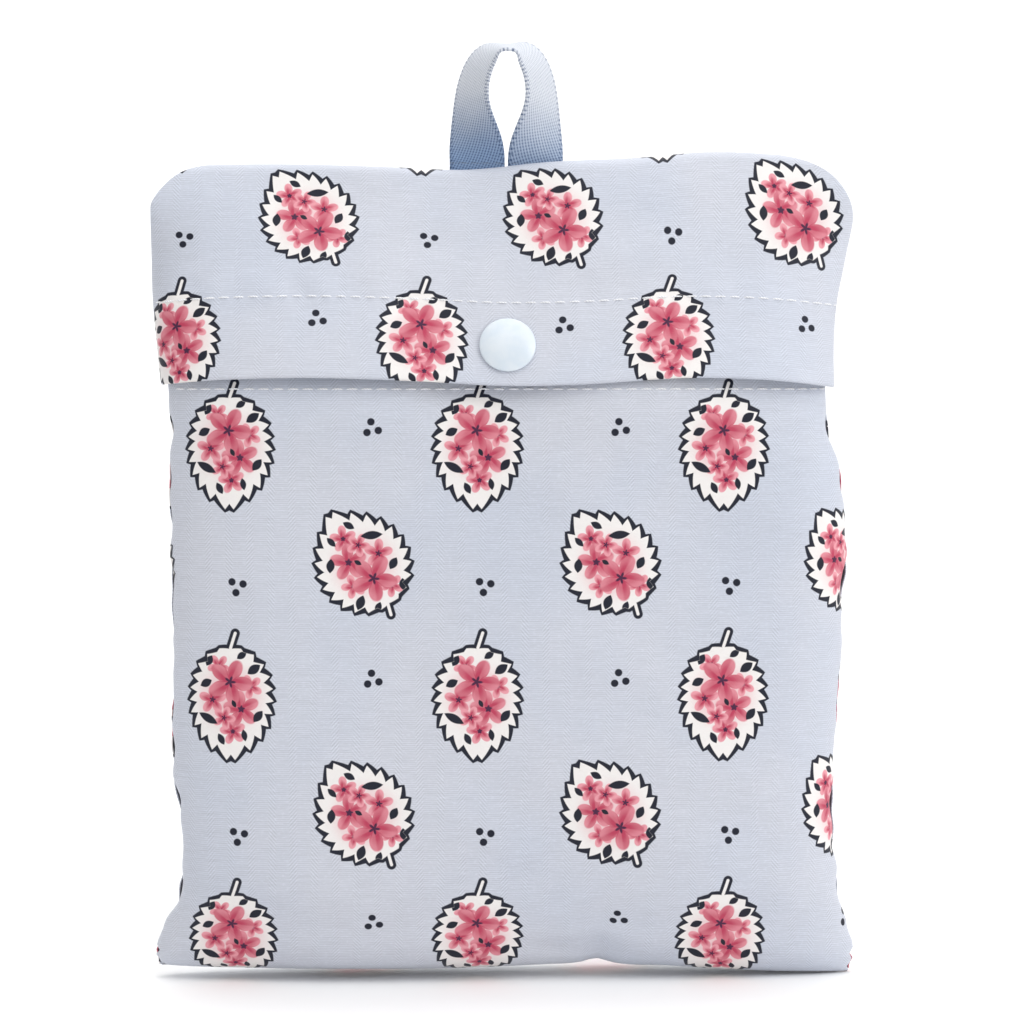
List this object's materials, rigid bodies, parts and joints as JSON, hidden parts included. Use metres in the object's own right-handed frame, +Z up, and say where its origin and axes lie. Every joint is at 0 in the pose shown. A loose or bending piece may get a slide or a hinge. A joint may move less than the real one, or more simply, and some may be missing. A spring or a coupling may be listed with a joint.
{
  "type": "foldable tote bag",
  "caption": "Foldable tote bag packed into its own flat pouch, with a snap flap over the mouth and a webbing hang loop.",
  "frame": {"origin": "centre of the bounding box at the bottom of the pouch, on the surface it stands on", "axes": "+Z up the pouch; the front with the flap and the snap faces -Y; +X to the viewer's right of the front"},
  "size_m": [0.1874, 0.0321, 0.2528],
  "materials": {
    "print_cloth": "pale blue ripstop polyester with a printed leaf and dot pattern",
    "thread": "white sewing thread",
    "webbing": "blue twill webbing",
    "snap_plastic": "smooth pale blue satin gloss",
    "label_tape": "blank white woven tape"
  },
  "bodies": {
    "pouch": {"pouch_front_panel": "print_cloth", "pouch_back_panel": "print_cloth", "pouch_bottom_fold": "print_cloth", "front_mouth_hem": "print_cloth", "side_seam_left": "print_cloth", "side_seam_right": "print_cloth", "front_hem_thread": "thread", "back_seam_thread": "thread", "snap_stud": "snap_plastic", "snap_post": "snap_plastic", "care_label": "label_tape"},
    "flap": {"flap_panel": "print_cloth", "flap_hem": "print_cloth", "flap_hem_thread": "thread", "snap_cap": "snap_plastic", "snap_socket": "snap_plastic", "loop_sewn_ends": "webbing", "loop_bar_tacks": "thread"},
    "hang_loop": {"hang_loop": "webbing"},
    "folded_tote": {"tote_front_panel": "print_cloth", "tote_back_panel": "print_cloth", "tote_gusset_left": "print_cloth", "tote_gusset_right": "print_cloth", "tote_base_panel": "print_cloth", "tote_top_hem_front": "print_cloth", "tote_top_hem_back": "print_cloth", "tote_strap_front": "webbing", "tote_strap_back": "webbing", "tote_strap_tacks": "thread"}
  },
  "joints": [
    {"name": "tote_slide", "type": "slide", "parent": "pouch", "child": "folded_tote", "axis": [0, 0, 1], "range_m": [0, 0.075]},
    {"name": "flap_hinge", "type": "hinge", "parent": "pouch", "child": "flap", "pos_m": [0, 0.0129, 0.2165], "axis": [-1, 0, 0], "range_deg": [0, 150]},
    {"name": "loop_hinge", "type": "hinge", "parent": "flap", "child": "hang_loop", "pos_m": [0, 0.01045, 0.2204], "axis": [-1, 0, 0], "range_deg": [-30, 20], "stiffness_Nm_per_rad": 0.002}
  ],
  "couplings": [
    {"joint": "flap_hinge", "follows": "tote_slide", "rad_per_m": 34.907}
  ]
}
